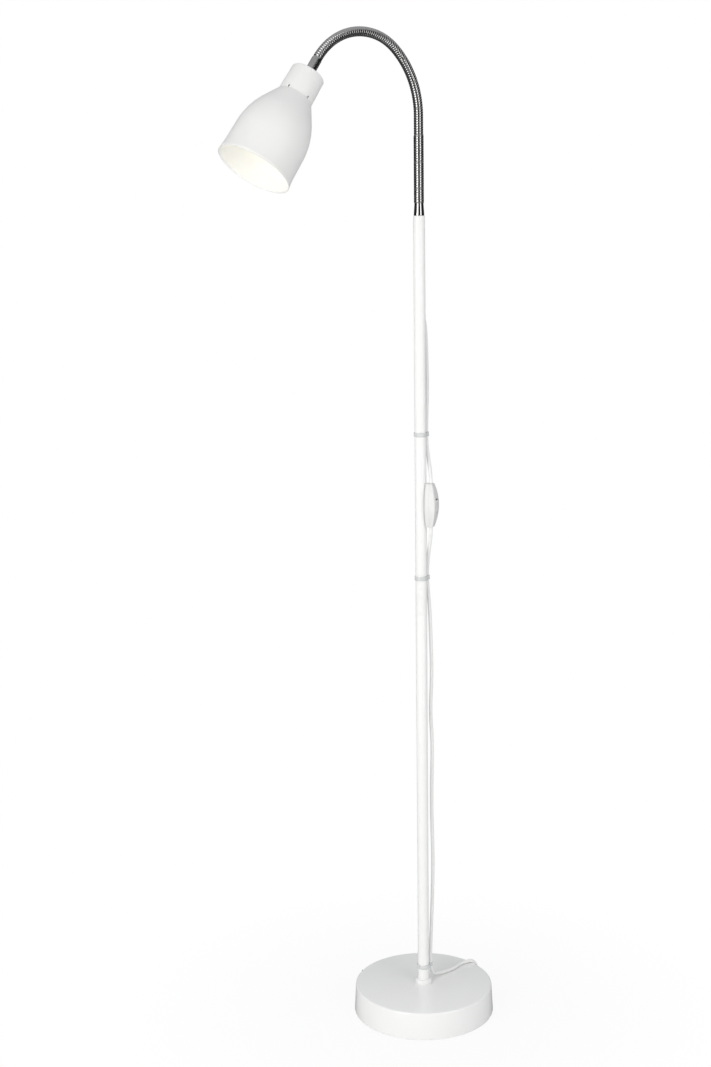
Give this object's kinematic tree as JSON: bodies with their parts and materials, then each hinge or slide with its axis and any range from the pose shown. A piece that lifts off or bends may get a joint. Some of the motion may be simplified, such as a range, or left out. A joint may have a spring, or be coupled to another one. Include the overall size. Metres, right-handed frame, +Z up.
{
  "type": "gooseneck floor lamp",
  "caption": "Gooseneck reading floor lamp: round weighted base, slim pole, flexible ribbed neck, bell-shaped shade, bulb, and a mains cord with an in-line rocker switch and plug.",
  "frame": {"origin": "centre of the base's underside, where the lamp stands on the floor", "axes": "+Z up along the pole; the neck bends over in the XZ plane and the head hangs towards -X"},
  "size_m": [0.445, 0.2429, 1.391],
  "materials": {
    "white_gloss_paint": "gloss",
    "white_satin_paint": "satin",
    "chrome": "polished",
    "rubber_pad": "matte",
    "raw_iron": "cast",
    "zinc_steel": "plated",
    "white_plastic": "moulded",
    "holder_plastic": "moulded",
    "brass_shell": "plain",
    "opal_glass": "opal",
    "bulb_metal": "plain",
    "white_cord": "smooth",
    "lead_sheath": "smooth",
    "clear_clip": "clear",
    "tie_plastic": "smooth",
    "pin_nickel": "plated"
  },
  "bodies": {
    "stand": {"base_cover": "white_gloss_paint", "base_pad": "rubber_pad", "base_weight": "raw_iron", "base_washer": "zinc_steel", "base_nut": "zinc_steel", "foot_collar": "white_gloss_paint", "foot_stud": "zinc_steel", "pole_lower": "white_gloss_paint", "pole_upper": "white_gloss_paint", "pole_joiner": "zinc_steel", "pole_top_bush": "zinc_steel", "cord_grommet": "white_plastic", "lower_ferrule": "chrome", "neck_link_01": "chrome", "pole_lead": "white_cord", "switch_back": "white_plastic", "switch_cover": "white_plastic", "switch_contacts": "brass_shell", "switch_screws": "zinc_steel", "cord_upper": "white_cord", "cord_lower": "white_cord", "cord_clips": "clear_clip", "cord_hank": "white_cord", "hank_tie": "tie_plastic", "cord_tail": "white_cord", "plug_body": "white_plastic", "plug_pins": "pin_nickel"},
    "neck_02": {"neck_link_02": "chrome", "neck_lead_02": "lead_sheath"},
    "neck_03": {"neck_link_03": "chrome", "neck_lead_03": "lead_sheath"},
    "neck_04": {"neck_link_04": "chrome", "neck_lead_04": "lead_sheath"},
    "neck_05": {"neck_link_05": "chrome", "neck_lead_05": "lead_sheath"},
    "neck_06": {"neck_link_06": "chrome", "neck_lead_06": "lead_sheath"},
    "neck_07": {"neck_link_07": "chrome", "neck_lead_07": "lead_sheath"},
    "neck_08": {"neck_link_08": "chrome", "neck_lead_08": "lead_sheath"},
    "neck_09": {"neck_link_09": "chrome", "neck_lead_09": "lead_sheath"},
    "head": {"neck_link_10": "chrome", "head_lead": "lead_sheath", "upper_ferrule": "chrome", "head_cap": "white_satin_paint", "head_nut": "zinc_steel", "shade": "white_satin_paint", "lampholder": "holder_plastic", "holder_shell": "brass_shell", "holder_contact": "brass_shell", "terminal_screws": "brass_shell", "shade_ring": "holder_plastic"},
    "bulb": {"bulb_globe": "opal_glass", "bulb_body": "white_plastic", "bulb_cap": "bulb_metal", "bulb_contact": "bulb_metal"},
    "rocker": {"switch_rocker": "white_plastic"}
  },
  "joints": [
    {"name": "neck_joint_1", "type": "hinge", "parent": "stand", "child": "neck_02", "pos_m": [0, 0, 1.20203], "axis": [0, -1, 0], "range_deg": [-25, 18]},
    {"name": "neck_joint_2", "type": "hinge", "parent": "neck_02", "child": "neck_03", "pos_m": [0, 0, 1.23706], "axis": [1, 0, 0], "range_deg": [-25, 25]},
    {"name": "neck_joint_3", "type": "hinge", "parent": "neck_03", "child": "neck_04", "pos_m": [0, 0, 1.27209], "axis": [0, -1, 0], "range_deg": [-25, 18]},
    {"name": "neck_joint_4", "type": "hinge", "parent": "neck_04", "child": "neck_05", "pos_m": [-0.00298, 0, 1.30689], "axis": [0, -1, 0], "range_deg": [-27, 0]},
    {"name": "neck_joint_5", "type": "hinge", "parent": "neck_05", "child": "neck_06", "pos_m": [-0.01621, 0, 1.33917], "axis": [0.8545, 0, 0.5195], "range_deg": [-25, 25]},
    {"name": "neck_joint_6", "type": "hinge", "parent": "neck_06", "child": "neck_07", "pos_m": [-0.03877, 0, 1.36577], "axis": [0, -1, 0], "range_deg": [-27, 0]},
    {"name": "neck_joint_7", "type": "hinge", "parent": "neck_07", "child": "neck_08", "pos_m": [-0.06952, 0, 1.3819], "axis": [0, -1, 0], "range_deg": [-27, 0]},
    {"name": "neck_joint_8", "type": "hinge", "parent": "neck_08", "child": "neck_09", "pos_m": [-0.10427, 0, 1.3837], "axis": [-0.1467, 0, 0.9892], "range_deg": [-25, 25]},
    {"name": "neck_joint_9", "type": "hinge", "parent": "neck_09", "child": "head", "pos_m": [-0.13701, 0, 1.37189], "axis": [0, -1, 0], "range_deg": [-27, 0]},
    {"name": "bulb_removal", "type": "slide", "parent": "head", "child": "bulb", "axis": [-0.5878, 0, -0.809], "range_m": [0, 0.03]},
    {"name": "rocker_tilt", "type": "hinge", "parent": "stand", "child": "rocker", "pos_m": [0.01051, -0.01559, 0.7545], "axis": [-0.829, -0.5592, 0], "range_deg": [0, 14]}
  ],
  "couplings": [
    {"joint": "neck_joint_3", "follows": "neck_joint_1", "ratio": 1},
    {"joint": "neck_joint_6", "follows": "neck_joint_4", "ratio": 1},
    {"joint": "neck_joint_7", "follows": "neck_joint_4", "ratio": 1},
    {"joint": "neck_joint_9", "follows": "neck_joint_4", "ratio": 1},
    {"joint": "neck_joint_5", "follows": "neck_joint_2", "ratio": 1},
    {"joint": "neck_joint_8", "follows": "neck_joint_2", "ratio": 1}
  ]
}
